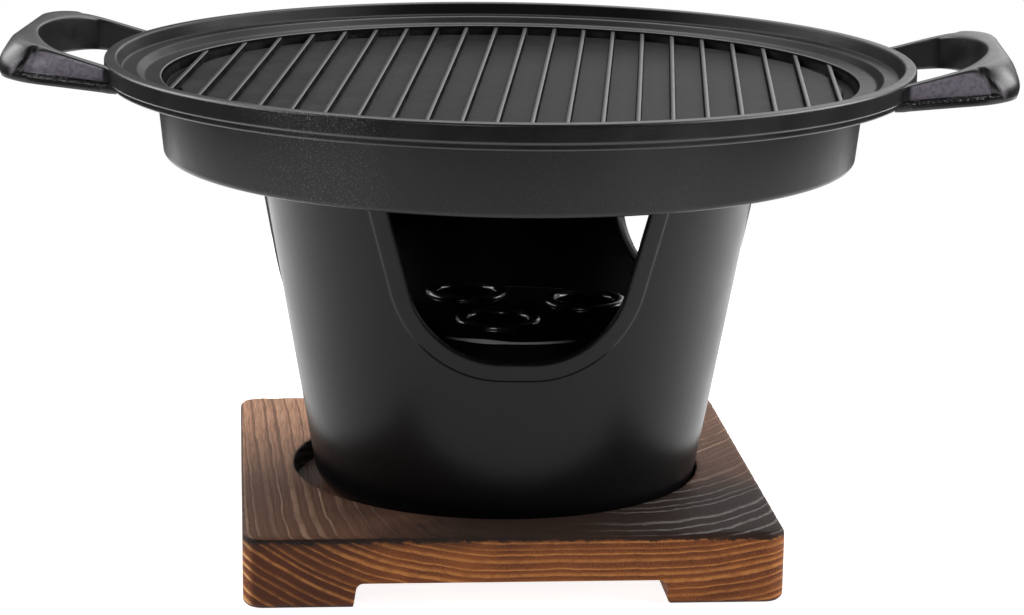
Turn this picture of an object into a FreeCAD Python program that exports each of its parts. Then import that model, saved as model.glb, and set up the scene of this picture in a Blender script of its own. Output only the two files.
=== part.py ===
import FreeCAD, Part
import math
import os

# Tabletop charcoal grill: a grill plate on a cast stove body that stands in a wooden base.
# Millimetres, Z up. The origin is on the table, on the common axis of stove body and grill plate.
# The plate's handles point along X and its ribs run along Y.

# Wooden base: one square block with a round pocket on top and a wide groove milled underneath
base_side = 167.4
base_height = 23.0
base_corner_radius = 6.5
base_top_bevel = 1.2
base_foot_bevel = 1.6
base_turn = 7.7
groove_width = 98.0
groove_top_width = 94.0
groove_height = 8.0
groove_round = 4.0
pocket_depth = 7.5

# The stove body stands loose in the pocket, moved over by its play until this gap is left
pocket_gap = 0.4
stand_play = 3.2
stand_angle = 15.0

# Stove body: a tapered cast bucket with three tall notches that are open at its rim
stove_foot_radius = 61.4
stove_top_radius = 84.4
stove_height = 130.5
stove_wall = 3.2
stove_floor = 4.0
stove_foot_round = 10.0
stove_inner_bevel = 6.0
notch_count = 3
notch_angle = -85.1
notch_sill = 58.2
notch_sill_width = 55.2
notch_flare = 14.6
notch_round = 29.0
border_width = 5.8
border_height = 0.6
lug_count = 3
lug_top = 45.5
lug_reach = 9.0
lug_width = 12.0
lug_height = 7.0

# Charcoal tray: a loose cast insert with a raised platform and three raised ring vents
tray_play = 3.1
tray_gap = 0.5
tray_thickness = 3.0
tray_brim_radius = 48.0
platform_radius = 43.0
platform_rise = 9.0
platform_bevel = 1.2
brim_bevel = 0.8
vent_count = 3
vent_angle = -102.0
vent_circle_radius = 23.4
vent_bore_radius = 9.5
vent_lip_radius = 13.6
vent_foot_radius = 18.5
vent_height = 4.4
vent_lip_bevel = 1.2

# Grill plate: one casting, a ribbed well inside two ledges, with a hanging skirt below its flange
plate_radius = 130.0
plate_floor = 3.5
rim_width = 3.8
rim_height = 3.6
rim_draft = 1.7
rim_bevel = 0.7
outer_ledge_width = 5.0
ledge_step = 2.6
ledge_step_width = 2.0
inner_ledge_width = 5.5
well_depth = 2.5
well_draft = 1.5
channel_width = 3.5
channel_depth = 1.2
channel_draft = 0.6
flange_side = 5.9
flange_step_height = 2.2
flange_step_width = 1.5
skirt_top_radius = 113.8
skirt_foot_radius = 111.3
skirt_height = 23.0
skirt_wall = 4.0
skirt_bevel = 1.6
locating_height = 3.0
locating_wall = 2.5
locating_gap = 1.0

# Ribs of the grill plate: a tapered bar section, repeated on both sides of the middle rib
rib_pitch = 10.44
rib_side_count = 10
rib_width = 2.2
rib_top_width = 1.6
rib_below_ledge = 0.6

# Handles: a closed loop at each side, whose end bar and arms lean inwards above their widest line
handle_length = 30.0
handle_width = 86.0
handle_corner_radius = 12.0
handle_top_corner_radius = 18.0
bar_width = 8.0
bar_widest = 7.3
bar_top_setback = 4.0
bar_foot_setback = 4.0
arm_width = 6.0
arm_top_setback = 2.0
arm_rise = 16.2
arm_root_drop = 1.1
arm_foot_drop = 0.4
arm_foot_rise = 6.0
finger_gap_round = 13.0
arm_recess = 1.6
arm_recess_setback = 6.5
arm_recess_lean = 31.0
arm_ledge = 2.8

# What cuts and joins reach past or into a piece
overrun = 2.0
joining = 0.5

# Heights above the table that the pieces share
pocket_floor_z = base_height - pocket_depth
stove_top_z = pocket_floor_z + stove_height
plate_floor_z = stove_top_z + plate_floor
inner_ledge_z = plate_floor_z + well_depth
outer_ledge_z = inner_ledge_z + ledge_step
rim_top_z = outer_ledge_z + rim_height
flange_foot_z = rim_top_z - flange_side - flange_step_height
skirt_foot_z = flange_foot_z - skirt_height
lug_top_z = pocket_floor_z + lug_top

Z_AXIS = FreeCAD.Vector(0, 0, 1)
CENTRE = FreeCAD.Vector(0, 0, 0)


def stove_radius(z):
    share = (z - pocket_floor_z) / stove_height
    return stove_foot_radius + (stove_top_radius - stove_foot_radius) * share


def inside_radius(z):
    return stove_radius(z) - stove_wall


# The pocket has room for the stove body's foot, which stands away from the pocket's middle
pocket_radius = stove_radius(base_height) + stand_play + pocket_gap
base_x = -stand_play * math.cos(math.radians(stand_angle))
base_y = -stand_play * math.sin(math.radians(stand_angle))

# The tray lies on the lugs, moved over to the right by its play until its gap to the wall is left
tray_radius = inside_radius(lug_top_z) - tray_play - tray_gap

# Radii of the grill plate from its rim inwards
rim_inner_radius = plate_radius - rim_width
outer_ledge_radius = rim_inner_radius - rim_draft
outer_ledge_inner_radius = outer_ledge_radius - outer_ledge_width
inner_ledge_radius = outer_ledge_inner_radius - ledge_step_width
well_radius = inner_ledge_radius - inner_ledge_width
channel_radius = well_radius - well_draft
rib_floor_radius = channel_radius - channel_width

# Places on the +X handle, which its loop, finger gap and recesses share
handle_root_x = math.sqrt(plate_radius ** 2 - (handle_width / 2) ** 2)
handle_reach = plate_radius + handle_length
gap_reach = handle_reach - bar_width
foot_root_z = flange_foot_z - arm_foot_drop
foot_end_z = foot_root_z + (handle_reach - handle_root_x) * math.tan(math.radians(arm_foot_rise))
top_root_z = rim_top_z - arm_root_drop
top_end_z = top_root_z + (gap_reach - handle_root_x) * math.tan(math.radians(arm_rise))


# The tangent arc that rounds a corner, from the line before it to the line after it
def corner_arc(last, place, following, radius):
    to_last = (last - place).normalize()
    to_next = (following - place).normalize()
    half = to_last.getAngle(to_next) / 2
    middle = (to_last + to_next).normalize()
    reach = radius / math.tan(half)
    apex = place + middle * (radius / math.sin(half) - radius)
    return Part.Arc(place + to_last * reach, apex, place + to_next * reach).toShape()


# A closed wire through corners given as a place and a rounding radius, which is zero where it is sharp
def rounded_wire(corners):
    places = [place for place, radius in corners]
    edges = []
    end = None
    for index, (place, radius) in enumerate(corners):
        following = places[(index + 1) % len(places)]
        arc = corner_arc(places[index - 1], place, following, radius) if radius else None
        start = arc.firstVertex().Point if arc else place
        if end is not None:
            edges.append(Part.makeLine(end, start))
        else:
            first = start
        if arc:
            edges.append(arc)
        end = arc.lastVertex().Point if arc else place
    edges.append(Part.makeLine(end, first))
    return Part.Wire(edges)


# The two ends of a bevel that takes an outline's corner off by the same size on both sides
def bevelled(last, corner, following, size):
    ends = []
    for other in (last, following):
        length = math.dist(corner, other)
        share = size / length
        ends.append((corner[0] + (other[0] - corner[0]) * share, corner[1] + (other[1] - corner[1]) * share))
    return ends


# Turns an outline of (radius, height) or (radius, height, rounding) into a solid around the Z axis
def turned(outline):
    corners = []
    for radius, z, *rounding in outline:
        corners.append((FreeCAD.Vector(radius, 0, z), rounding[0] if rounding else 0))
    return Part.Face(rounded_wire(corners)).revolve(CENTRE, Z_AXIS, 360)


def upright(radius, low_z, high_z):
    return Part.makeCylinder(radius, high_z - low_z, FreeCAD.Vector(0, 0, low_z))


def turned_copies(shape, count):
    copies = []
    for number in range(count):
        copy = shape.copy()
        copy.rotate(CENTRE, Z_AXIS, 360 * number / count)
        copies.append(copy)
    return copies


# The square block with its pocket, standing on the two feet that the groove leaves
def make_wood_base():
    half = base_side / 2
    block = Part.makeBox(base_side, base_side, base_height, FreeCAD.Vector(-half, -half, 0))
    uprights = [edge for edge in block.Edges if edge.BoundBox.ZLength > base_height / 2]
    block = block.makeFillet(base_corner_radius, uprights)
    top = [edge for edge in block.Edges if edge.BoundBox.ZMin > base_height - base_top_bevel]
    block = block.makeChamfer(base_top_bevel, top)
    foot = [edge for edge in block.Edges if edge.BoundBox.ZMax < base_foot_bevel]
    block = block.makeChamfer(base_foot_bevel, foot)
    groove_half = groove_width / 2
    groove_top_half = groove_top_width / 2
    end = half + overrun
    groove = Part.Face(rounded_wire([
        (FreeCAD.Vector(-groove_half, -end, -overrun), 0),
        (FreeCAD.Vector(-groove_half, -end, 0), 0),
        (FreeCAD.Vector(-groove_top_half, -end, groove_height), groove_round),
        (FreeCAD.Vector(groove_top_half, -end, groove_height), groove_round),
        (FreeCAD.Vector(groove_half, -end, 0), 0),
        (FreeCAD.Vector(groove_half, -end, -overrun), 0),
    ])).extrude(FreeCAD.Vector(0, 2 * end, 0))
    base = block.cut(groove).cut(upright(pocket_radius, pocket_floor_z, base_height + overrun))
    base.rotate(CENTRE, Z_AXIS, base_turn)
    base.translate(FreeCAD.Vector(base_x, base_y, 0))
    return base


# A prism with the notch's outline, grown by a margin, from the axis out through the wall
def notch_prism(margin):
    sill_z = pocket_floor_z + notch_sill - margin
    top_z = stove_top_z + overrun
    lean = math.tan(math.radians(notch_flare))
    side = margin / math.cos(math.radians(notch_flare))
    sill_half = notch_sill_width / 2 + side - margin * lean
    top_half = sill_half + (top_z - sill_z) * lean
    round_radius = notch_round + margin
    prism = Part.Face(rounded_wire([
        (FreeCAD.Vector(0, -top_half, top_z), 0),
        (FreeCAD.Vector(0, -sill_half, sill_z), round_radius),
        (FreeCAD.Vector(0, sill_half, sill_z), round_radius),
        (FreeCAD.Vector(0, top_half, top_z), 0),
    ])).extrude(FreeCAD.Vector(stove_top_radius + border_height + overrun, 0, 0))
    prism.rotate(CENTRE, Z_AXIS, notch_angle)
    return prism


# A raised border round each notch, lying on the outside of the tapered wall
def notch_borders():
    low_z = pocket_floor_z + notch_sill - border_width - overrun
    skin = turned([
        (stove_radius(low_z) - joining, low_z),
        (stove_radius(low_z) + border_height, low_z),
        (stove_radius(stove_top_z) + border_height, stove_top_z),
        (stove_radius(stove_top_z) - joining, stove_top_z),
    ])
    return [skin.common(prism) for prism in turned_copies(notch_prism(border_width), notch_count)]


# A lug with a sloping underside inside each pillar that the notches leave
def tray_lugs():
    inner = inside_radius(lug_top_z) - lug_reach
    outer = inside_radius(lug_top_z) + stove_wall / 2
    low_z = lug_top_z - lug_height
    profile = Part.Face(rounded_wire([
        (FreeCAD.Vector(inner, -lug_width / 2, lug_top_z), 0),
        (FreeCAD.Vector(inner, -lug_width / 2, lug_top_z - lug_height / 3), 0),
        (FreeCAD.Vector(outer - stove_wall / 2, -lug_width / 2, low_z), 0),
        (FreeCAD.Vector(outer, -lug_width / 2, lug_top_z), 0),
    ]))
    lug = profile.extrude(FreeCAD.Vector(0, lug_width, 0))
    lug.rotate(CENTRE, Z_AXIS, notch_angle + 180 / notch_count)
    return turned_copies(lug, lug_count)


def make_stove_body():
    floor_z = pocket_floor_z + stove_floor
    mouth = (inside_radius(stove_top_z), stove_top_z)
    inner_foot = (inside_radius(floor_z), floor_z)
    floor_centre = (0, floor_z)
    bucket = turned([
        (0, pocket_floor_z),
        (stove_foot_radius, pocket_floor_z, stove_foot_round),
        (stove_top_radius, stove_top_z),
        mouth,
        *bevelled(mouth, inner_foot, floor_centre, stove_inner_bevel),
        floor_centre,
    ])
    body = bucket.fuse(notch_borders() + tray_lugs())
    return body.cut(turned_copies(notch_prism(0), notch_count)).removeSplitter()


# A ring vent: a bore with a rounded lip on a flaring foot
def tray_vent(under_z, top_z):
    bore_foot = (vent_bore_radius, under_z)
    flank_foot = (vent_foot_radius, top_z)
    outer_lip = (vent_lip_radius, top_z + vent_height)
    inner_lip = (vent_bore_radius, top_z + vent_height)
    vent = turned([
        bore_foot,
        (vent_foot_radius, under_z),
        flank_foot,
        *bevelled(flank_foot, outer_lip, inner_lip, vent_lip_bevel),
        *bevelled(outer_lip, inner_lip, bore_foot, vent_lip_bevel),
    ])
    vent.translate(FreeCAD.Vector(vent_circle_radius, 0, 0))
    vent.rotate(CENTRE, Z_AXIS, vent_angle)
    return vent


def make_charcoal_tray():
    brim_top_z = lug_top_z + tray_thickness
    top_z = brim_top_z + platform_rise
    under_z = top_z - tray_thickness
    brim_foot = (tray_radius, lug_top_z)
    brim_edge = (tray_radius, brim_top_z)
    flank_foot = (tray_brim_radius, brim_top_z)
    platform_edge = (platform_radius, top_z)
    centre = (0, top_z)
    tray = turned([
        (0, under_z),
        (platform_radius - tray_thickness / 2, under_z),
        (tray_brim_radius - tray_thickness / 2, lug_top_z),
        brim_foot,
        *bevelled(brim_foot, brim_edge, flank_foot, brim_bevel),
        flank_foot,
        *bevelled(flank_foot, platform_edge, centre, platform_bevel),
        centre,
    ])
    seat = upright((vent_bore_radius + vent_lip_radius) / 2, under_z - overrun, top_z + overrun)
    seat.translate(FreeCAD.Vector(vent_circle_radius, 0, 0))
    seat.rotate(CENTRE, Z_AXIS, vent_angle)
    tray = tray.cut(turned_copies(seat, vent_count))
    tray = tray.fuse(turned_copies(tray_vent(under_z, top_z), vent_count)).removeSplitter()
    tray.translate(FreeCAD.Vector(tray_play, 0, 0))
    return tray


# The plate without ribs and handles, turned in one go with its skirt and locating ring
def plate_dish():
    locating_radius = inside_radius(stove_top_z) - locating_gap
    flange_step_z = flange_foot_z + flange_step_height
    skirt_step_radius = plate_radius - flange_step_width
    skirt_inner_foot = (skirt_foot_radius - skirt_wall, skirt_foot_z)
    skirt_foot = (skirt_foot_radius, skirt_foot_z)
    skirt_top = (skirt_top_radius, flange_foot_z)
    rim_foot = (plate_radius, flange_step_z)
    rim_outer = (plate_radius, rim_top_z)
    rim_inner = (rim_inner_radius, rim_top_z)
    outer_ledge = (outer_ledge_radius, outer_ledge_z)
    return turned([
        (0, stove_top_z),
        (locating_radius - locating_wall, stove_top_z),
        (locating_radius - locating_wall, stove_top_z - locating_height),
        (locating_radius, stove_top_z - locating_height),
        (locating_radius, stove_top_z),
        (skirt_top_radius - skirt_wall, stove_top_z),
        skirt_inner_foot,
        *bevelled(skirt_inner_foot, skirt_foot, skirt_top, skirt_bevel),
        skirt_top,
        (skirt_step_radius, flange_foot_z),
        (skirt_step_radius, flange_step_z),
        rim_foot,
        *bevelled(rim_foot, rim_outer, rim_inner, rim_bevel),
        *bevelled(rim_outer, rim_inner, outer_ledge, rim_bevel),
        outer_ledge,
        (outer_ledge_inner_radius, outer_ledge_z),
        (inner_ledge_radius, inner_ledge_z),
        (well_radius, inner_ledge_z),
        (channel_radius, plate_floor_z - channel_depth),
        (rib_floor_radius, plate_floor_z - channel_depth),
        (rib_floor_radius - channel_draft, plate_floor_z),
        (0, plate_floor_z),
    ])


# Ribs along Y from wall to wall of the well, across the grease channel
def plate_ribs():
    low_z = plate_floor_z - channel_depth - joining
    top_z = inner_ledge_z - rib_below_ledge
    well = upright(well_radius, low_z, top_z)
    ribs = []
    for number in range(-rib_side_count, rib_side_count + 1):
        x = number * rib_pitch
        section = Part.Face(rounded_wire([
            (FreeCAD.Vector(x - rib_width / 2, -well_radius, low_z), 0),
            (FreeCAD.Vector(x + rib_width / 2, -well_radius, low_z), 0),
            (FreeCAD.Vector(x + rib_top_width / 2, -well_radius, top_z), 0),
            (FreeCAD.Vector(x - rib_top_width / 2, -well_radius, top_z), 0),
        ]))
        ribs.append(section.extrude(FreeCAD.Vector(0, 2 * well_radius, 0)).common(well))
    return ribs


# Outline of the loop in plan at one height, from the plate's axis to its reach
def loop_wire(reach, half, corner_radius, z):
    return rounded_wire([
        (FreeCAD.Vector(0, -half, z), 0),
        (FreeCAD.Vector(reach, -half, z), corner_radius),
        (FreeCAD.Vector(reach, half, z), corner_radius),
        (FreeCAD.Vector(0, half, z), 0),
    ])


# The loop's outer form without its finger gap, with both sides moved in by an inset
def handle_block(inset):
    half = handle_width / 2 - inset
    return Part.makeLoft([
        loop_wire(handle_reach - bar_foot_setback, half, handle_corner_radius, foot_root_z),
        loop_wire(handle_reach, half, handle_corner_radius, foot_root_z + bar_widest),
        loop_wire(handle_reach - bar_top_setback, half - arm_top_setback, handle_top_corner_radius, top_end_z),
    ], True, False)


# A prism across the handle from its outline in the XZ plane, given as (x, z)
def across_handle(outline):
    face_y = -handle_width / 2 - overrun
    corners = [(FreeCAD.Vector(x, face_y, z), 0) for x, z in outline]
    return Part.Face(rounded_wire(corners)).extrude(FreeCAD.Vector(0, -2 * face_y, 0))


# The shallow recess in the outer face of each arm, which leaves a ledge along the arm's foot
def arm_recesses():
    end_x = handle_reach - arm_recess_setback
    ledge_root_z = foot_root_z + arm_ledge
    ledge_end_z = ledge_root_z + (end_x - handle_root_x) * math.tan(math.radians(arm_foot_rise))
    high_z = top_end_z + overrun
    high_x = end_x - (high_z - ledge_end_z) * math.tan(math.radians(arm_recess_lean))
    prism = across_handle([
        (handle_root_x / 2, ledge_root_z),
        (handle_root_x, ledge_root_z),
        (end_x, ledge_end_z),
        (high_x, high_z),
        (handle_root_x / 2, high_z),
    ])
    return prism.cut(handle_block(arm_recess))


# One loop handle at the +X side: a rounded block, trimmed to its rising arms, with its finger gap
def make_handle():
    side = across_handle([
        (handle_root_x, foot_root_z),
        (handle_reach + overrun, foot_end_z),
        (handle_reach + overrun, top_end_z),
        (gap_reach, top_end_z),
        (handle_root_x, top_root_z),
    ])
    low_z = foot_root_z - overrun
    high_z = top_end_z + overrun
    gap_wire = loop_wire(gap_reach, handle_width / 2 - arm_width, finger_gap_round, low_z)
    finger_gap = Part.Face(gap_wire).extrude(FreeCAD.Vector(0, 0, high_z - low_z))
    inside = upright(plate_radius - rim_width / 2, low_z, high_z)
    return handle_block(0).common(side).cut([finger_gap, arm_recesses(), inside])


def make_grill_plate():
    handles = turned_copies(make_handle(), 2)
    return plate_dish().fuse(plate_ribs() + handles).removeSplitter()


os.makedirs("parts", exist_ok=True)
pieces = {
    "wood_base": make_wood_base(),
    "stove_body": make_stove_body(),
    "charcoal_tray": make_charcoal_tray(),
    "grill_plate": make_grill_plate(),
}
for name, shape in pieces.items():
    print(name, "valid", shape.isValid(), "solids", len(shape.Solids), "volume", round(shape.Volume))
    shape.exportStep(f"parts/{name}.step")
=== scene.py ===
import bmesh
import bpy
from math import asin, ceil, cos, degrees, exp, hypot, log1p, pi, radians, sin, sqrt, tan
from mathutils import Matrix, Vector, noise


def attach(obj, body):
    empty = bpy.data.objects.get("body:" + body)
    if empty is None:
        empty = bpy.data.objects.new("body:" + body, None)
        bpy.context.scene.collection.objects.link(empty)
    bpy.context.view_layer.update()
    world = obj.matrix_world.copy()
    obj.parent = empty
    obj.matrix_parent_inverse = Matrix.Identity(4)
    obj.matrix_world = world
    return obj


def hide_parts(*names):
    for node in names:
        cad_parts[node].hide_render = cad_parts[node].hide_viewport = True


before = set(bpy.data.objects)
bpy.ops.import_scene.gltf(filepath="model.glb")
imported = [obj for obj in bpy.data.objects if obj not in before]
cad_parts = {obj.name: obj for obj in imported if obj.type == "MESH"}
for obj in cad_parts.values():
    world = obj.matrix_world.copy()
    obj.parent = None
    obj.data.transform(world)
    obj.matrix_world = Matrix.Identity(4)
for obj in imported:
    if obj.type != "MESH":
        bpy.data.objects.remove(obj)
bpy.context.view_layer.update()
scene = bpy.context.scene
mm = 0.001   # every size below is in millimetres, the scene itself in metres

# Heights above the table that the pieces share
levels = dict(pocketFloor=15.5, boardTop=23.0, lugTop=61.0, stoveTop=146.0)

roundInset = 0.29   # how far in the middle of a rounded edge lies, as a share of its radius


# A colour read as 0 to 255 on a screen
def paint(red, green, blue):
    channels = [((c / 255 + 0.055) / 1.055) ** 2.4 if c > 10 else c / 255 / 12.92 for c in (red, green, blue)]
    return (*channels, 1)


def smooth(low, high, value):
    share = min(max((value - low) / (high - low), 0), 1)
    return share * share * (3 - 2 * share)


def mix(start, end, share):
    return start + (end - start) * share


# Making meshes

def makeMesh(name, verts, faces, sharpAngle=None):
    mesh = bpy.data.meshes.new(name)
    mesh.from_pydata([Vector(v) * mm for v in verts], [], faces)
    work = bmesh.new()
    work.from_mesh(mesh)
    bmesh.ops.remove_doubles(work, verts=work.verts, dist=0.002 * mm)
    bmesh.ops.recalc_face_normals(work, faces=work.faces)
    work.to_mesh(mesh)
    work.free()
    mesh.shade_smooth()
    if sharpAngle:
        mesh.set_sharp_from_angle(angle=radians(sharpAngle))
    return mesh


def makeObject(name, mesh, material=None):
    obj = bpy.data.objects.new(name, mesh)
    scene.collection.objects.link(obj)
    if material:
        mesh.materials.clear()
        mesh.materials.append(material)
    return obj


def joinMeshes(name, meshes, material):
    whole = bmesh.new()
    for mesh in meshes:
        whole.from_mesh(mesh)
    joined = bpy.data.meshes.new(name)
    whole.to_mesh(joined)
    whole.free()
    for polygon in joined.polygons:
        polygon.material_index = 0
    return makeObject(name, joined, material)


# Rounds the corners of an outline of (radius, height, rounding); support points keep its flats flat
def roundedOutline(corners, closed, support=0.4, stepAngle=16):
    outline = []
    for index, (r, z, rounding) in enumerate(corners):
        place = Vector((r, z))
        atEnd = not closed and index in (0, len(corners) - 1)
        if atEnd or not rounding:
            outline.append(place)
            continue
        back = Vector(corners[index - 1][:2]) - place
        ahead = Vector(corners[(index + 1) % len(corners)][:2]) - place
        backLength, aheadLength = back.length, ahead.length
        back.normalize()
        ahead.normalize()
        half = back.angle(ahead) / 2
        reach = rounding / tan(half)
        centre = place + (back + ahead).normalized() * (rounding / sin(half))
        spoke = place + back * reach - centre
        sweep = pi - 2 * half
        turn = -1 if back.x * ahead.y - back.y * ahead.x > 0 else 1
        steps = max(2, ceil(degrees(sweep) / stepAngle))
        if backLength > 2 * reach + 2 * support:
            outline.append(place + back * (reach + support))
        for step in range(steps + 1):
            outline.append(centre + Matrix.Rotation(turn * sweep * step / steps, 2) @ spoke)
        if aheadLength > 2 * reach + 2 * support:
            outline.append(place + ahead * (reach + support))
    return outline


def turnedShape(outline, segments, closed, centre=(0, 0)):
    verts, faces, rings = [], [], []
    for r, z in outline:
        if r < 0.001:
            rings.append([len(verts)] * segments)
            verts.append((*centre, z))
            continue
        rings.append(range(len(verts), len(verts) + segments))
        for step in range(segments):
            angle = 2 * pi * step / segments
            verts.append((centre[0] + r * cos(angle), centre[1] + r * sin(angle), z))
    pairs = list(zip(rings, rings[1:]))
    if closed:
        pairs.append((rings[-1], rings[0]))
    for ring, following in pairs:
        for k in range(segments):
            corner = (k + 1) % segments
            face = list(dict.fromkeys([ring[k], ring[corner], following[corner], following[k]]))
            if len(face) > 2:
                faces.append(face)
    return verts, faces


# Faces between the rows of a grid of points; columns close up where the grid goes round
def gridShape(rows, roundAbout=False, closedEnds=False):
    verts = [place for row in rows for place in row]
    width = len(rows[0])
    faces = []
    for r in range(len(rows) - (0 if roundAbout else 1)):
        following = (r + 1) % len(rows)
        for k in range(width - 1):
            faces.append([r * width + k, r * width + k + 1, following * width + k + 1, following * width + k])
    if closedEnds:
        faces.append([r * width for r in range(len(rows))])
        faces.append([r * width + width - 1 for r in range(len(rows))])
    return verts, faces


# Node helpers, for materials and Geometry Nodes alike

def addNode(tree, kind, inputs=None, **settings):
    node = tree.nodes.new(kind)
    for name, value in settings.items():
        setattr(node, name, value)
    for key, value in (inputs or {}).items():
        if isinstance(value, bpy.types.NodeSocket):
            tree.links.new(value, node.inputs[key])
        else:
            node.inputs[key].default_value = value
    return node


# The helpers below work in the tree of the sockets that they are given
def calc(operation, *values):
    tree = next(value.id_data for value in values if isinstance(value, bpy.types.NodeSocket))
    return addNode(tree, "ShaderNodeMath", dict(enumerate(values)), operation=operation).outputs[0]


# One operation on several numbers in turn
def calcAll(operation, first, *others):
    for other in others:
        first = calc(operation, first, other)
    return first


def times(*values):
    return calcAll("MULTIPLY", *values)


def plus(*values):
    return calcAll("ADD", *values)


def most(*values):
    return calcAll("MAXIMUM", *values)


def unsigned(value):
    return calc("ABSOLUTE", value)


def fromAxis(x, y):
    return calc("SQRT", plus(calc("POWER", x, 2), calc("POWER", y, 2)))


def split(vector):
    return addNode(vector.id_data, "ShaderNodeSeparateXYZ", {0: vector}).outputs


def surfaceNormal(tree):
    return split(addNode(tree, "ShaderNodeNewGeometry").outputs["Normal"])


def stretched(vector, *scale):
    return addNode(vector.id_data, "ShaderNodeMapping", {"Vector": vector, "Scale": scale}).outputs[0]


def addNoise(vector, scale, detail=2, roughness=0.5):
    inputs = {"Vector": vector, "Scale": scale, "Detail": detail, "Roughness": roughness}
    return addNode(vector.id_data, "ShaderNodeTexNoise", inputs).outputs["Fac"]


def ramp(value, fromLow, fromHigh, low=0, high=1, kind="SMOOTHSTEP"):
    inputs = {"Value": value, "From Min": fromLow, "From Max": fromHigh, "To Min": low, "To Max": high}
    return addNode(value.id_data, "ShaderNodeMapRange", inputs, interpolation_type=kind).outputs["Result"]


# A value of 0 to 1 spread evenly from -reach to reach
def spread(value, reach):
    return ramp(value, 0, 1, -reach, reach, "LINEAR")


# A value that drifts between two limits with a noise
def drift(cloud, limits):
    return ramp(cloud, 0.3, 0.7, *limits, "LINEAR")


def mixColour(share, first, second):
    inputs = {0: share, 6: first, 7: second}
    return addNode(share.id_data, "ShaderNodeMix", inputs, data_type="RGBA").outputs[2]


# Colours laid over one another, each where its own mask says
def overlay(colour, *coats):
    for share, coat in coats:
        colour = mixColour(share, colour, coat)
    return colour


def newMaterial(name, **fixed):
    material = bpy.data.materials.new(name)
    material.use_nodes = True
    shader = material.node_tree.nodes["Principled BSDF"]
    for socket, value in fixed.items():
        shader.inputs[socket.replace("_", " ")].default_value = value
    return material, material.node_tree, shader


# Object coordinates in millimetres, turned and centred on a piece
def millimetres(tree, centre=(0, 0, 0), turn=0):
    place = addNode(tree, "ShaderNodeTexCoord").outputs["Object"]
    inputs = {"Vector": place, "Location": Vector(centre) * mm, "Rotation": (0, 0, radians(turn)),
              "Scale": (mm, mm, mm)}
    return addNode(tree, "ShaderNodeMapping", inputs, vector_type="TEXTURE").outputs["Vector"]


def feed(shader, socket, value):
    value.id_data.links.new(value, shader.inputs[socket])


def addBump(shader, height, strength, distance):
    inputs = {"Height": height, "Strength": strength, "Distance": distance * mm}
    feed(shader, "Normal", addNode(height.id_data, "ShaderNodeBump", inputs).outputs["Normal"])


# Grill plate

grillPlate = dict(
    segments=288, floorUnder=levels["stoveTop"], floorTop=149.5,
    innerLedge=152.0, outerLedge=154.2, rimTop=158.2,
    flangeFoot=150.1, flangeStep=152.3, skirtFoot=127.1,
    rimRadius=130.0, stepRadius=128.5, rimInner=126.2, outerLedgeRadius=124.5, outerLedgeInner=119.6,
    innerLedgeRadius=117.4, wellRadius=112.0, channelOuter=110.5, channelInner=107.0, floorRadius=106.4,
    channelDepth=1.2, skirtTopRadius=113.8, skirtFootRadius=111.3, skirtWall=4.0,
    ringOuter=80.2, ringInner=77.7, ringFoot=143.0,
    ribCount=21, ribPitch=10.44, ribFootWidth=2.3, ribTopWidth=1.5, ribTop=151.4, ribEndRadius=113.4,
    ribRounding=0.25, ribSunk=0.3,
)


def plateOutline(p):
    return roundedOutline([
        (0, p["floorUnder"], 0),
        (p["ringInner"], p["floorUnder"], 0.8),
        (p["ringInner"], p["ringFoot"], 0.5),
        (p["ringOuter"], p["ringFoot"], 0.5),
        (p["ringOuter"], p["floorUnder"], 0.8),
        (p["skirtTopRadius"] - p["skirtWall"], p["floorUnder"], 2.5),
        (p["skirtFootRadius"] - p["skirtWall"], p["skirtFoot"], 0.8),
        (p["skirtFootRadius"], p["skirtFoot"], 1.5),
        (p["skirtTopRadius"], p["flangeFoot"], 1.0),
        (p["stepRadius"], p["flangeFoot"], 0.6),
        (p["stepRadius"], p["flangeStep"], 0.4),
        (p["rimRadius"], p["flangeStep"], 0.6),
        (p["rimRadius"], p["rimTop"], 0.95),
        (p["rimInner"], p["rimTop"], 0.95),
        (p["outerLedgeRadius"], p["outerLedge"], 0.9),
        (p["outerLedgeInner"], p["outerLedge"], 0.9),
        (p["innerLedgeRadius"], p["innerLedge"], 1.1),
        (p["wellRadius"], p["innerLedge"], 0.7),
        (p["channelOuter"], p["floorTop"] - p["channelDepth"], 0.7),
        (p["channelInner"], p["floorTop"] - p["channelDepth"], 0.4),
        (p["floorRadius"], p["floorTop"], 0.4),
        (0, p["floorTop"], 0),
    ], closed=False)


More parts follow.
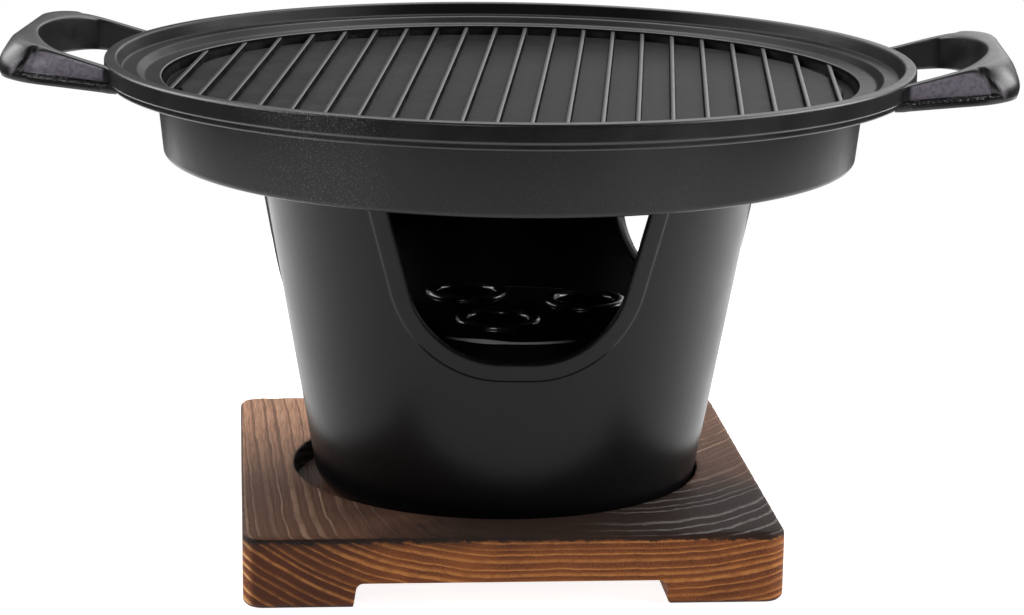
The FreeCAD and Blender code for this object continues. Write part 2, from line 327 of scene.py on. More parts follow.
# A node tree that lays tapered bars side by side and ends each one in the wall of a round well
def ribTree():
    tree = bpy.data.node_groups.new("ribsAcrossWell", "GeometryNodeTree")
    tree.interface.new_socket("Geometry", in_out="OUTPUT", socket_type="NodeSocketGeometry")
    lengths = ("Pitch", "End Radius", "Foot Width", "Top Width", "Height", "Top", "Rounding")
    sockets = {"Count": "Int", **dict.fromkeys(lengths, "Float"), "Coating": "Material"}
    for name, kind in sockets.items():
        tree.interface.new_socket(name, in_out="INPUT", socket_type="NodeSocket" + kind)
    given = addNode(tree, "NodeGroupInput").outputs
    span = times(calc("SUBTRACT", given["Count"], 1), given["Pitch"])
    middleZ = calc("SUBTRACT", given["Top"], times(given["Height"], 0.5))
    start = addNode(tree, "ShaderNodeCombineXYZ", {"X": times(span, -0.5), "Z": middleZ}).outputs[0]
    pitch = addNode(tree, "ShaderNodeCombineXYZ", {"X": given["Pitch"]}).outputs[0]
    line = addNode(tree, "GeometryNodeMeshLine", {
        "Count": given["Count"], "Start Location": start, "Offset": pitch,
    })
    x = split(addNode(tree, "GeometryNodeInputPosition").outputs[0])["X"]
    squares = calc("SUBTRACT", calc("POWER", given["End Radius"], 2), calc("POWER", x, 2))
    halfLength = calc("SQRT", squares)
    scale = addNode(tree, "ShaderNodeCombineXYZ", {"X": 1, "Y": halfLength, "Z": 1}).outputs[0]
    # the section is laid down along the axis upside down
    section = addNode(tree, "GeometryNodeCurvePrimitiveQuadrilateral", {
        "Bottom Width": given["Top Width"], "Top Width": given["Foot Width"], "Height": given["Height"],
        "Offset": 0,
    }, mode="TRAPEZOID")
    rounded = addNode(tree, "GeometryNodeFilletCurve", {
        "Curve": section.outputs[0], "Radius": given["Rounding"],
    }, mode="POLY")
    axis = addNode(tree, "GeometryNodeCurvePrimitiveLine", {"Start": (0, 1, 0), "End": (0, -1, 0)})
    upright = addNode(tree, "GeometryNodeSetCurveNormal", {"Curve": axis.outputs[0]}, mode="Z_UP")
    bar = addNode(tree, "GeometryNodeCurveToMesh", {
        "Curve": upright.outputs[0], "Profile Curve": rounded.outputs[0], "Fill Caps": True,
    })
    bars = addNode(tree, "GeometryNodeInstanceOnPoints", {
        "Points": line.outputs[0], "Instance": bar.outputs[0], "Scale": scale,
    })
    real = addNode(tree, "GeometryNodeRealizeInstances", {0: bars.outputs[0]})
    coated = addNode(tree, "GeometryNodeSetMaterial", {
        "Geometry": real.outputs[0], "Material": given["Coating"],
    })
    addNode(tree, "NodeGroupOutput", {0: coated.outputs[0]})
    return tree


def nodesMesh(name, tree, values):
    carrier = makeObject(name, bpy.data.meshes.new(name))
    modifier = carrier.modifiers.new(name, "NODES")
    modifier.node_group = tree
    for item in tree.interface.items_tree:
        if item.in_out == "INPUT":
            modifier[item.identifier] = values[item.name]
    evaluated = carrier.evaluated_get(bpy.context.evaluated_depsgraph_get())
    mesh = bpy.data.meshes.new_from_object(evaluated)
    carrier.modifiers.clear()
    bpy.data.objects.remove(carrier)
    return mesh


grillHandle = dict(
    armStations=22, cornerStations=84, barStations=22,
    startRadius=128.1, pivotX=132.0, pivotY=20.0,
    footHeight=149.7, widestHeight=157.0, topHeight=165.6,
    footReach=155.6, widestReach=159.6, topReach=156.0,
    footHalf=43.0, topHalf=41.0, footCorner=12.0, topCorner=21.0,
    gapHalf=37.0, gapArcCentre=85.0, gapArcRadius=67.0, gapCorner=3.2, gapCornerCut=0.45,
    rootX=122.68, footRise=6.0, topRoot=157.1, topRise=16.2, topBlend=1.2,
    recessDepth=1.6, recessEnd=153.1, recessEndHeight=155.7, recessLean=31.0, recessRamp=1.4,
    recessGroove=0.35, recessGrooveReach=1.3,
    ledge=2.8, flash=0.5, edge=0.55, rootFlare=0.9, rootFlareReach=1.1,
)


# Distance from a pivot to a loop of straight sides and rounded corners, along a direction
def loopDistance(pivot, direction, reach, half, corner):
    x, y = pivot
    dx, dy = direction
    if dx > 1e-6:
        distance = (reach - x) / dx
        if abs(y + distance * dy) <= half - corner:
            return distance
    if dy < -1e-6:
        distance = (half + y) / -dy
        if x + distance * dx <= reach - corner:
            return distance
    cx, cy = x - (reach - corner), y + (half - corner)
    b = cx * dx + cy * dy
    return -b + sqrt(b * b - cx * cx - cy * cy + corner * corner)


# Distance from a pivot to the edge of the finger gap, whose corner is cut softly
def gapDistance(pivot, direction, h):
    x, y = pivot
    dx, dy = direction
    cx = x - h["gapArcCentre"]
    b = cx * dx + y * dy
    arc = -b + sqrt(b * b - cx * cx - y * y + h["gapArcRadius"] ** 2)
    if dy > -1e-6:
        return arc
    side = (h["gapHalf"] + y) / -dy
    soft = h["gapCorner"]
    return min(arc, side) - soft * exp(-abs(arc - side) / soft) * h["gapCornerCut"]


# One section of the front half of a handle, from its inner foot over its top to its outer foot
def handleSection(pivot, direction, h):
    slopeFoot, slopeTop = tan(radians(h["footRise"])), tan(radians(h["topRise"]))
    hits = [
        loopDistance(pivot, direction, h["footReach"], h["footHalf"], h["footCorner"]),
        loopDistance(pivot, direction, h["widestReach"], h["footHalf"], h["footCorner"]),
        loopDistance(pivot, direction, h["topReach"], h["topHalf"], h["topCorner"]),
    ]
    z0, z1, z2 = h["footHeight"], h["widestHeight"], h["topHeight"]
    inner = gapDistance(pivot, direction, h)

    def at(distance, z):
        return Vector((pivot[0] + direction[0] * distance, pivot[1] + direction[1] * distance, z))

    def footAt(distance):
        return h["footHeight"] + (at(distance, 0).x - h["rootX"]) * slopeFoot

    # the arm's top rises evenly and levels out softly into the bar
    def topAt(distance):
        rise = h["topRoot"] + (at(distance, 0).x - h["rootX"]) * slopeTop
        over = (rise - h["topHeight"]) / h["topBlend"]
        if abs(over) > 8:
            return min(rise, h["topHeight"])
        return h["topHeight"] + h["topBlend"] * (over - softPlus(over))

    # the outer skin bends through its foot, its widest height and its top, and flares where it meets the rim
    def skin(z):
        share0 = (z - z1) * (z - z2) / ((z0 - z1) * (z0 - z2))
        share1 = (z - z0) * (z - z2) / ((z1 - z0) * (z1 - z2))
        share2 = (z - z0) * (z - z1) / ((z2 - z0) * (z2 - z1))
        distance = hits[0] * share0 + hits[1] * share1 + hits[2] * share2
        place = at(distance, z)
        clear = hypot(place.x, place.y) - grillPlate["rimRadius"]
        return distance + h["rootFlare"] * exp(-max(clear, 0) / h["rootFlareReach"])

    def recess(distance, z):
        x = at(distance, 0).x
        end = h["recessEnd"] - (z - h["recessEndHeight"]) * tan(radians(h["recessLean"]))
        into = end - x
        groove = h["recessGroove"] * exp(-((into - h["recessRamp"]) / h["recessGrooveReach"]) ** 2)
        return (h["recessDepth"] + groove) * smooth(0, h["recessRamp"], into)

    edge = h["edge"]
    inset = edge * roundInset
    topOuter = topAt(skin(h["topHeight"] - 3))
    face = skin(topOuter)
    face -= recess(face, topOuter)
    landWidth = face - inner
    footInner = footAt(inner)
    topInner = topAt(inner)
    points = [
        at(inner + edge + 0.6, footInner),
        at(inner + edge, footInner),
        at(inner + inset, footInner + inset),
        at(inner, footInner + edge),
        at(inner, footInner + edge + 0.5),
        at(inner, mix(footInner, topInner, 0.5)),
        at(inner, topInner - edge - 0.5),
        at(inner, topInner - edge),
        at(inner + inset, topAt(inner + inset) - inset),
        at(inner + edge, topAt(inner + edge)),
    ]
    for share in (0.33, 0.66):
        points.append(at(inner + landWidth * share, topAt(inner + landWidth * share)))
    points.append(at(face - edge, topAt(face - edge)))
    points.append(at(face - inset, topAt(face) - inset))
    ledgeZ = footAt(hits[1]) + h["ledge"]
    for share in (0.06, 0.14, 0.3, 0.46, 0.62, 0.78, 0.92, 1):
        z = mix(topOuter - edge, ledgeZ + 0.3, share)
        distance = skin(z)
        points.append(at(distance - recess(distance, z), z))
    # the parting line below the recess is ragged where the recess is deep
    base = skin(ledgeZ)
    deep = recess(base, ledgeZ)
    place = at(base, ledgeZ)
    coarse = noise.noise(Vector((place.x * 1.1, place.y * 1.1, 3)))
    fine = noise.noise(Vector((place.x * 2.7, place.y * 2.7, 9)))
    ragged = h["flash"] * (coarse + 0.7 * fine) * min(deep, 1)
    points.append(at(base - deep * 0.75, ledgeZ + 0.04))
    points.append(at(base - 0.3 * min(deep, 1) - 0.02, ledgeZ - 0.02 + ragged))
    points.append(at(base - 0.04 + 0.35 * min(ragged, 0), ledgeZ - 0.28 + ragged * 0.6))
    # down the skin to the outer foot, and back along the underside
    low = footAt(hits[0])
    outer = skin(low)
    middle = mix(inner, outer, 0.5)
    for share in (0.35, 0.7):
        z = mix(ledgeZ - 0.3, low + edge, share)
        points.append(at(skin(z), z))
    return points + [
        at(skin(low + edge + 0.3), low + edge + 0.3),
        at(skin(low + edge) - edge * 0.05, low + edge * 0.75),
        at(outer - edge * 0.5, footAt(outer - edge * 0.5) + edge * 0.1),
        at(outer - edge - 0.6, footAt(outer - edge - 0.6)),
        at(middle, footAt(middle)),
    ]


def softPlus(value):
    return max(value, 0) + log1p(exp(-abs(value)))


def handleMesh(h, side):
    front = []
    startX = sqrt(h["startRadius"] ** 2 - h["gapHalf"] ** 2)
    for step in range(h["armStations"]):
        share = step / h["armStations"]
        front.append(handleSection((mix(startX, h["pivotX"], share), -h["pivotY"]), (0, -1), h))
    for step in range(h["cornerStations"]):
        angle = pi / 2 * (step / h["cornerStations"] - 1)
        front.append(handleSection((h["pivotX"], -h["pivotY"]), (cos(angle), sin(angle)), h))
    for step in range(h["barStations"] // 2 + 1):
        y = h["pivotY"] * (2 * step / h["barStations"] - 1)
        front.append(handleSection((h["pivotX"], y), (1, 0), h))
    # the arms start inside the rim, on a circle round the plate's axis
    for place in front[0]:
        place.x = sqrt(h["startRadius"] ** 2 - place.y ** 2)
    stations = front + [[Vector((p.x, -p.y, p.z)) for p in section] for section in reversed(front[:-1])]
    if side < 0:
        stations = [[Vector((-p.x, -p.y, p.z)) for p in section] for section in stations]
    rows = [[section[k % len(section)] for section in stations] for k in range(len(stations[0]))]
    verts, faces = gridShape(rows, roundAbout=True, closedEnds=True)
    return makeMesh("handle", verts, faces, sharpAngle=50)


def makeGrillPlate(p, h, coating):
    dish = makeMesh("dish", *turnedShape(plateOutline(p), p["segments"], closed=False))
    ribHeight = p["ribTop"] - p["floorTop"] + p["channelDepth"] + p["ribSunk"]
    ribs = nodesMesh("ribs", ribTree(), {
        "Count": p["ribCount"], "Pitch": p["ribPitch"] * mm, "End Radius": p["ribEndRadius"] * mm,
        "Foot Width": p["ribFootWidth"] * mm, "Top Width": p["ribTopWidth"] * mm, "Height": ribHeight * mm,
        "Top": p["ribTop"] * mm, "Rounding": p["ribRounding"] * mm, "Coating": coating,
    })
    handles = [handleMesh(h, 1), handleMesh(h, -1)]
    return joinMeshes("grillPlate", [dish, ribs] + handles, coating)


# Stove body

stoveBody = dict(
    footRadius=61.4, topRadius=84.4, foot=levels["pocketFloor"], top=levels["stoveTop"], wall=3.2, floor=4.0,
    footRound=10.0, innerRound=8.4,
    notchCount=3, notchPitch=120.0, notchAngle=-85.1, notchDrift=(0.1, 0.5),
    sill=73.7, sillHalf=27.6, flare=14.6, notchRound=29.0,
    borderWidth=5.8, borderHeight=0.8, edge=0.6, rimEdge=0.6, dropFade=6,
    beltHeight=52.0, sillAngle=14.0, flankColumns=34, arcColumns=30, sillColumns=14, spreadRows=15,
    beltRows=6, lugReach=9.0, lugWidth=12.0, lugHeight=7.0,
)


# The notch outline in the plane across its axis: a place, its outward normal and where its column ends.
# A column ends at a height on the pillar's middle line, or at an angle on the belt below the notch
def notchColumns(b):
    f = radians(b["flare"])
    normalArc = pi / 2 - f   # the arc turns from the flank's normal to straight down
    reach = b["notchRound"] * tan(normalArc / 2)
    arcCentre = Vector((b["sillHalf"] - reach, b["sill"] + b["notchRound"]))
    flankFoot = Vector((b["sillHalf"] + reach * sin(f), b["sill"] + reach * cos(f)))
    along = Vector((sin(f), cos(f)))
    flankLength = (b["top"] - flankFoot.y) / cos(f)
    pillar, sillAngle, belt = b["notchPitch"] / 2, b["sillAngle"], b["beltHeight"]
    columns = []

    def addColumn(place, normal, end, slide=0):
        columns.append(dict(place=place, normal=normal, end=end, slide=slide))

    for step in range(b["flankColumns"]):
        slide = 1 - step / b["flankColumns"]
        place = flankFoot + along * flankLength * slide
        addColumn(place, Vector((cos(f), -sin(f))), (pillar, place.y), slide)
    for step in range(b["arcColumns"]):
        share = step / b["arcColumns"]
        angle = -f - normalArc * share
        normal = Vector((cos(angle), sin(angle)))
        if share < 0.5:
            end = (pillar, mix(flankFoot.y, belt, share / 0.5))
        else:
            end = (mix(pillar, sillAngle, (share - 0.5) / 0.5), belt)
        addColumn(arcCentre + normal * b["notchRound"], normal, end)
    for step in range(b["sillColumns"] // 2 + 1):
        share = 2 * step / b["sillColumns"]
        place = Vector(((b["sillHalf"] - reach) * (1 - share), b["sill"]))
        addColumn(place, Vector((0, -1)), (sillAngle * (1 - share), belt))
    mirrored = []
    for column in reversed(columns[:-1]):
        place, normal = column["place"], column["normal"]
        mirrored.append(dict(column, place=Vector((-place.x, place.y)), normal=Vector((-normal.x, normal.y)),
                             end=(-column["end"][0], column["end"][1])))
    return columns + mirrored


def wallRadius(b, z):
    return b["footRadius"] + (b["topRadius"] - b["footRadius"]) * (z - b["foot"]) / (b["top"] - b["foot"])


# Angle and height of an outline column, moved out by an offset along the wall
def outlinePoint(b, column, offset, depth, topZ):
    place = column["place"] + column["normal"] * offset
    if column["slide"]:
        f = radians(b["flare"])
        side = 1 if column["place"].x > 0 else -1
        slide = offset * tan(f) * column["slide"]
        place = place + Vector((side * sin(f), cos(f))) * slide
        drop = (b["top"] - topZ) * column["slide"] ** b["dropFade"]
        place = place - Vector((side * tan(f), 1)) * drop
    radius = wallRadius(b, place.y) - depth
    return degrees(asin(place.x / radius)), place.y


# The front notch stands a little out of the even spacing of the three
def wallPlace(angle, z, radius, turn):
    shift, swing = stoveBody["notchDrift"]
    whole = radians(angle + turn + shift + swing * cos(radians(angle + turn - stoveBody["notchAngle"])))
    return Vector((radius * cos(whole), radius * sin(whole), z))


def wallGrid(b, columns, turn, depth, offsets, lifts, topZ):
    rows = []
    edges = [outlinePoint(b, column, offsets[-1], depth, topZ) for column in columns]
    for offset, lift in zip(offsets, lifts):
        row = []
        for column in columns:
            angle, z = outlinePoint(b, column, offset, depth, topZ)
            row.append(wallPlace(angle, z, wallRadius(b, z) - depth + lift, turn))
        rows.append(row)
    for step in range(1, b["spreadRows"] + 1):
        share = step / b["spreadRows"]
        row = []
        for column, (angle, z) in zip(columns, edges):
            endAngle, endZ = column["end"]
            endZ -= (b["top"] - topZ) * column["slide"] ** b["dropFade"]
            angle, height = mix(angle, endAngle, share), mix(z, endZ, share)
            row.append(wallPlace(angle, height, wallRadius(b, height) - depth, turn))
        rows.append(row)
    return rows


def makeStoveBody(b, coating):
    columns = notchColumns(b)
    verts, faces = [], []

    def addGrid(rows):
        newVerts, newFaces = gridShape(rows)
        base = len(verts)
        verts.extend(newVerts)
        faces.extend([[k + base for k in face] for face in newFaces])

    def drawnTo(place, radius, z):
        now = hypot(place.x, place.y)
        return Vector((place.x * radius / now, place.y * radius / now, z))

    e, r, wall, top = b["edge"], b["rimEdge"], b["wall"], b["top"]
    w, h = b["borderWidth"], b["borderHeight"]
    # the border's profile: offset from the notch, and height as a share of the border's height
    border = [(e, 1), (e + 0.4, 1), (1.6, 1), (w * 0.5, 1), (w - 1.7, 1), (w - 0.9, 1), (w - 0.55, 0.94),
              (w - 0.3, 0.66), (w - 0.05, 0.26), (w + 0.2, 0.04), (w + 0.5, 0), (w + 1.2, 0)]
    offsets = [offset for offset, share in border]
    lifts = [h * share for offset, share in border]
    innerOffsets = [e, e + 0.4, w + 1.2]
    # steps through the wall: offset from the notch, depth, and how far below the rim its top lies
    inset, rimInset = e * roundInset, r * roundInset
    through = [(e, -h, r), (inset, inset - h, rimInset), (0, e - h, 0), (0, 1.2, 0), (0, wall - e - 0.5, 0),
               (0, wall - e, 0), (inset, wall - inset, rimInset), (e, wall, r)]
    # below the belt the wall runs down, round the foot and to the middle, outside and inside alike
    belt, floorZ = b["beltHeight"], b["foot"] + b["floor"]
    profiles = [roundedOutline(corners, closed=False, support=1.5, stepAngle=9) for corners in (
        [(wallRadius(b, belt), belt, 0), (b["footRadius"], b["foot"], b["footRound"]), (0, b["foot"], 0)],
        [(wallRadius(b, belt) - wall, belt, 0), (wallRadius(b, floorZ) - wall, floorZ, b["innerRound"]),
         (0, floorZ, 0)],
    )]
    beltAngles = [column["end"][0] for column in columns if abs(column["end"][1] - belt) < 1e-6]
    for number in range(b["notchCount"]):
        turn = b["notchAngle"] + b["notchPitch"] * number
        outer = wallGrid(b, columns, turn, 0, offsets, lifts, top - r)
        inner = wallGrid(b, columns, turn, wall, innerOffsets, [0] * len(innerOffsets), top - r)
        addGrid(outer)
        addGrid(inner)
        reveal = []
        for offset, depth, drop in through:
            row = []
            for column in columns:
                angle, z = outlinePoint(b, column, offset, max(depth, 0), top - drop)
                row.append(wallPlace(angle, z, wallRadius(b, z) - depth, turn))
            reveal.append(row)
        reveal[0], reveal[-1] = outer[0], inner[0]
        addGrid(reveal)
        # the flat rim of the pillars, on both sides of the notch
        for end in (0, -1):
            outerEdge = [row[end] for row in outer]
            strips = [outerEdge]
            for step in range(1, len(through) - 1):
                offset, depth, drop = through[step]
                strip = [reveal[step][end]]
                for place in outerEdge[1:]:
                    lift = hypot(place.x, place.y) - wallRadius(b, place.z)
                    radius = wallRadius(b, top) - max(depth + h, 0) * (wall + lift) / (wall + h) + lift
                    strip.append(drawnTo(place, radius, top - drop))
                strips.append(strip)
            addGrid(strips)
            # the inner edge has fewer rows, so the last strip meets a row drawn in to its radius
            last = [drawnTo(place, wallRadius(b, top - r) - wall, top - r) for place in strips[-1]]
            last[0] = inner[0][end]
            addGrid([strips[-1], last])
        for profile in profiles:
            high, following = profile[0], profile[1]
            between = [high + (following - high) * (k / b["beltRows"]) for k in range(b["beltRows"])]
            addGrid([[wallPlace(angle, z, radius, turn) for angle in beltAngles]
                     for radius, z in between + profile[1:]])
    stove = makeMesh("stove", verts, faces, sharpAngle=60)
    lugs = [lugMesh(b, number) for number in range(b["notchCount"])]
    return joinMeshes("stoveBody", [stove] + lugs, coating)


def lugMesh(b, number):
    z = levels["lugTop"]
    inner = wallRadius(b, z) - b["wall"] - b["lugReach"]
    outer = wallRadius(b, z) - b["wall"] / 2
    profile = roundedOutline([
        (inner, z, 0.5), (inner, z - b["lugHeight"] / 3, 0.8),
        (outer - b["wall"] / 2, z - b["lugHeight"], 0.3), (outer, z, 0.2),
    ], closed=True, support=0.3)
    turn = radians(b["notchAngle"] + b["notchPitch"] * (number + 0.5))
    half = b["lugWidth"] / 2
    rows = []
    for radius, height in profile:
        rows.append([Vector((radius * cos(turn) - y * sin(turn), radius * sin(turn) + y * cos(turn), height))
                     for y in (-half, -half + 0.4, half - 0.4, half)])
    verts, faces = gridShape(rows, roundAbout=True, closedEnds=True)
    return makeMesh("lug", verts, faces, sharpAngle=40)


# Charcoal tray

charcoalTray = dict(
    segments=192, centreX=3.1, brimFoot=levels["lugTop"], brimTop=64.0, platformTop=73.0, thickness=3.0,
    brimRadius=62.6, flankRadius=48.0, platformRadius=40.5,
    ventCount=3, ventSegments=72, ventCircle=23.4, ventAngle=-102.0, bore=9.5, lipRadius=13.6, ventFoot=18.5,
    ventTop=77.4, seat=11.5, seatSegments=64,
)


def makeCharcoalTray(t, coating):
    top, under = t["platformTop"], t["platformTop"] - t["thickness"]
    outline = roundedOutline([
        (0, under, 0), (t["platformRadius"] - 1.5, under, 1.0), (t["flankRadius"] - 1.5, t["brimFoot"], 1.5),
        (t["brimRadius"], t["brimFoot"], 0.6), (t["brimRadius"], t["brimTop"], 1.2),
        (t["flankRadius"], t["brimTop"], 2.0), (t["platformRadius"], top, 1.6), (0, top, 0),
    ], closed=False)
    tray = makeMesh("tray", *turnedShape(outline, t["segments"], closed=False, centre=(t["centreX"], 0)))
    body = makeObject("trayBlank", tray)
    seat = [(0, under - 2), (t["seat"], under - 2), (t["seat"], top + 2), (0, top + 2)]
    ring = roundedOutline([
        (t["bore"], under, 0.5), (t["ventFoot"] - 1, under, 0.5), (t["ventFoot"], top - 0.3, 0.2),
        (t["ventFoot"] - 2.2, top + 0.5, 2.0), (t["lipRadius"] + 0.35, top + 2.3, 1.2),
        (t["lipRadius"], t["ventTop"], 1.5), (t["bore"], t["ventTop"], 1.9),
    ], closed=True, support=0.3)
    vents = []
    for number in range(t["ventCount"]):
        angle = radians(t["ventAngle"] + 360 / t["ventCount"] * number)
        centre = (t["centreX"] + t["ventCircle"] * cos(angle), t["ventCircle"] * sin(angle))
        # the seat is cut through the platform, and the ring vent covers its edge
        cutter = makeMesh("seat", *turnedShape(seat, t["seatSegments"], closed=False, centre=centre))
        cutAway(body, makeObject("seat", cutter))
        vents.append(makeMesh("vent", *turnedShape(ring, t["ventSegments"], closed=True, centre=centre)))
    blank = body.data
    blank.shade_smooth()
    blank.set_sharp_from_angle(angle=radians(40))
    bpy.data.objects.remove(body)
    return joinMeshes("charcoalTray", [blank] + vents, coating)


def cutAway(obj, cutter):
    modifier = obj.modifiers.new("cut", "BOOLEAN")
    modifier.operation = "DIFFERENCE"
    modifier.solver = "EXACT"
    modifier.object = cutter
    mesh = bpy.data.meshes.new_from_object(obj.evaluated_get(bpy.context.evaluated_depsgraph_get()))
    obj.modifiers.clear()
    obj.data = mesh
    bpy.data.objects.remove(cutter)


# Wooden base

woodBase = dict(
    side=167.4, height=levels["boardTop"], corner=6.5, topBevel=1.2, footBevel=2.2, turn=7.7,
    centre=(-3.091, -0.828), pocketRadius=66.32, pocketFloor=levels["pocketFloor"], pocketEdge=0.8,
    sidePoints=84, cornerPoints=10, topRows=14,
    grooveLeft=-50.2, grooveTopLeft=-48.9, grooveRight=46.9, grooveHeight=8.0, grooveRound=3.0,
    grooveFlare=2.2, wear=0.3,
)


# Points round a square with rounded corners, evenly spread, moved in by an inset
def roundedSquare(w, inset):
    half, corner = w["side"] / 2 - inset, max(w["corner"] - inset, 0.5)
    straight = half - corner
    points = []
    for quarter in range(4):
        turn = Matrix.Rotation(pi / 2 * quarter, 2)
        for step in range(w["sidePoints"]):
            points.append(turn @ Vector((half, mix(-straight, straight, step / w["sidePoints"]))))
        for step in range(w["cornerPoints"]):
            angle = pi / 2 * step / w["cornerPoints"]
            points.append(turn @ Vector((straight + corner * cos(angle), straight + corner * sin(angle))))
    return points


# Scorching and brushing leave the top edge a little uneven, always inside the block
def wearTopEdge(w, rows):
    top, half = w["height"], w["side"] / 2
    for row in rows:
        for p in row:
            nearEdge = smooth(half - 4.5, half - 1.5, max(abs(p.x), abs(p.y)))
            nearTop = smooth(top - 3.2, top - 0.6, p.z) * nearEdge
            if nearTop:
                coarse = noise.noise(Vector((p.x * 0.24, p.y * 0.24, 1)))
                fine = noise.noise(Vector((p.x * 0.8, p.y * 0.8, 5)))
                shrink = w["wear"] * nearTop * (0.35 + max(coarse + 0.6 * fine, -0.3))
                p.z -= shrink * 0.7
                p.x *= 1 - shrink / w["side"]
                p.y *= 1 - shrink / w["side"]


# The groove's left side leans in a little, and its right side is rounded above and flares below
def grooveTunnel(w):
    left, right, high, below = w["grooveLeft"], w["grooveRight"], w["grooveHeight"], -0.01
    outline = roundedOutline([
        (left - 2, -2, 0), (left - 2, below, 0), (left, below, 0.7), (w["grooveTopLeft"], high, 2.4),
        (right, high, w["grooveRound"]), (right, below, w["grooveFlare"]), (right + 6, below, 0),
        (right + 6, -2, 0),
    ], closed=True, support=0.5, stepAngle=10)
    half = w["side"] / 2 + 2
    tunnel = [[Vector((x, y, z)) for y in (-half, half)] for x, z in outline]
    verts, faces = gridShape(tunnel, roundAbout=True, closedEnds=True)
    return makeObject("groove", makeMesh("groove", verts, faces))


def makeWoodBase(w, material):
    outer = roundedSquare(w, 0)
    circle = [p.normalized() for p in roundedSquare(w, w["topBevel"])]
    rows = []

    def addLevel(points, z):
        rows.append([Vector((p.x, p.y, z)) for p in points])

    rim, floor, top = w["pocketRadius"], w["pocketFloor"], w["height"]
    for radius, z in (
        (0, floor), (20, floor), (45, floor), (62, floor), (rim - 0.8, floor), (rim - 0.25, floor + 0.2),
        (rim, floor + 0.8), (rim, floor + 2), (rim, top - 2), (rim, top - 1), (rim + 0.1, top - 0.5),
        (rim + 0.35, top - 0.15), (rim + w["pocketEdge"], top),
    ):
        addLevel([p * radius for p in circle], z)
    edge = roundedSquare(w, w["topBevel"] + 0.7)
    for step in range(1, w["topRows"] + 1):
        share = step / w["topRows"]
        addLevel([(c * (rim + w["pocketEdge"])).lerp(p, share) for c, p in zip(circle, edge)], top)
    bevel, foot = w["topBevel"], w["footBevel"]
    for inset, z in (
        (bevel, top - 0.08), (bevel * 0.45, top - bevel * 0.45), (0.06, top - bevel), (0, top - bevel - 0.7),
        (0, top - 4), (0, 15), (0, 10), (0, 5), (0, foot + 0.6), (0.02, foot * 0.8),
        (foot * 0.134, foot * 0.5), (foot * 0.5, foot * 0.134), (foot, 0), (foot + 0.7, 0),
    ):
        addLevel(roundedSquare(w, inset), z)
    for share in (0.35, 0.7, 1):
        addLevel([p * (1 - share) for p in outer], 0)
    wearTopEdge(w, rows)
    verts, faces = gridShape([row + [row[0].copy()] for row in rows])
    board = makeObject("board", makeMesh("board", verts, faces))
    cutAway(board, grooveTunnel(w))
    mesh = board.data
    turn = Matrix.Rotation(radians(w["turn"]), 4, "Z")
    mesh.transform(Matrix.Translation(Vector((*w["centre"], 0)) * mm) @ turn)
    mesh.shade_smooth()
    mesh.set_sharp_from_angle(angle=radians(38))
    bpy.data.objects.remove(board)
    return makeObject("woodBase", mesh, material)


# Materials

castFinish = dict(
    plateColour=paint(17, 17, 18), plateMottle=paint(34, 34, 35), plateSpeck=paint(124, 124, 126),
    # the near-black is painted shade in the recess ends' creases, and the colour of the strip along the
    # parting line
    armGrey=paint(116, 110, 120), armStain=paint(58, 54, 60), shadeAndSeamBlack=paint(4, 4, 4),
    # the near-white below is a painted highlight on the tray platform's edge
    bareMetal=paint(128, 126, 130), paintedHighlightWhite=paint(225, 224, 226),
    plateRoughness=(0.28, 0.36), plateShine=0.56, floorRoughness=0.1, floorShine=0.27, skirtShine=0.3,
    specklePitch=0.5, speckleDepth=0.05,
    bodyColour=paint(15, 14, 14), bodyRoughness=(0.27, 0.33), bodyShine=0.17,
    trayColour=paint(14, 13, 13), trayRoughness=(0.16, 0.22), trayShine=(0, 0.55),
)

# Where the plate's masks fade in: each is off at its first value and full at its second.
# A third and a fourth number say how strong it is there, when this isn't 0 and 1
plateMasks = dict(
    inWell=(112.6, 112.2), aboveUnderside=(147, 147.6), belowRibTops=(151.1, 150.6), mottle=(0.3, 0.7),
    speckStretch=(30, 4), speckHeight=(150, 157, 0.45), speckCloud=(0.4, 0.6, 0.02, 0.12), grain=(0.62, 0.7),
    outsideRim=(126, 126.6), belowFlange=(150.4, 149.8),
    sideways=(0.75, 0.92), armX=(124.5, 126), armY=(39.4, 40), stain=(0.46, 0.62, 0, 0.5),
    recessY=(38, 39.5), creaseShadeStart=(-0.2, 0.3), creaseShadeEnd=(3.2, 1.4),
    parting=(0.7, 0.35), partingX=(124, 126), partingInto=(-1, 1), teeth=(0.56, 0.64, 0, 0.8),
    teethFoot=(-0.9, -0.5),
    aboveSkirt=(149.3, 150.3), steep=(0.85, 0.6), rimStep=(127.4, 127), rimHeight=(154, 155),
    ledgeInner=(112.2, 112.6), ledgeOuter=(129.8, 129.2), ledgeHeight=(151.2, 151.6),
    rimWall=(124.2, 124.7), rimWallDull=(0.7, 0.4, 0, 0.85), sides=(45, 105),
    sideDull=(125, 126.2, 0.88, 0.68), floorDull=(15, 105, 0, 0.85),
)
speckStretchX = -50   # the middle of the stretch with most specks


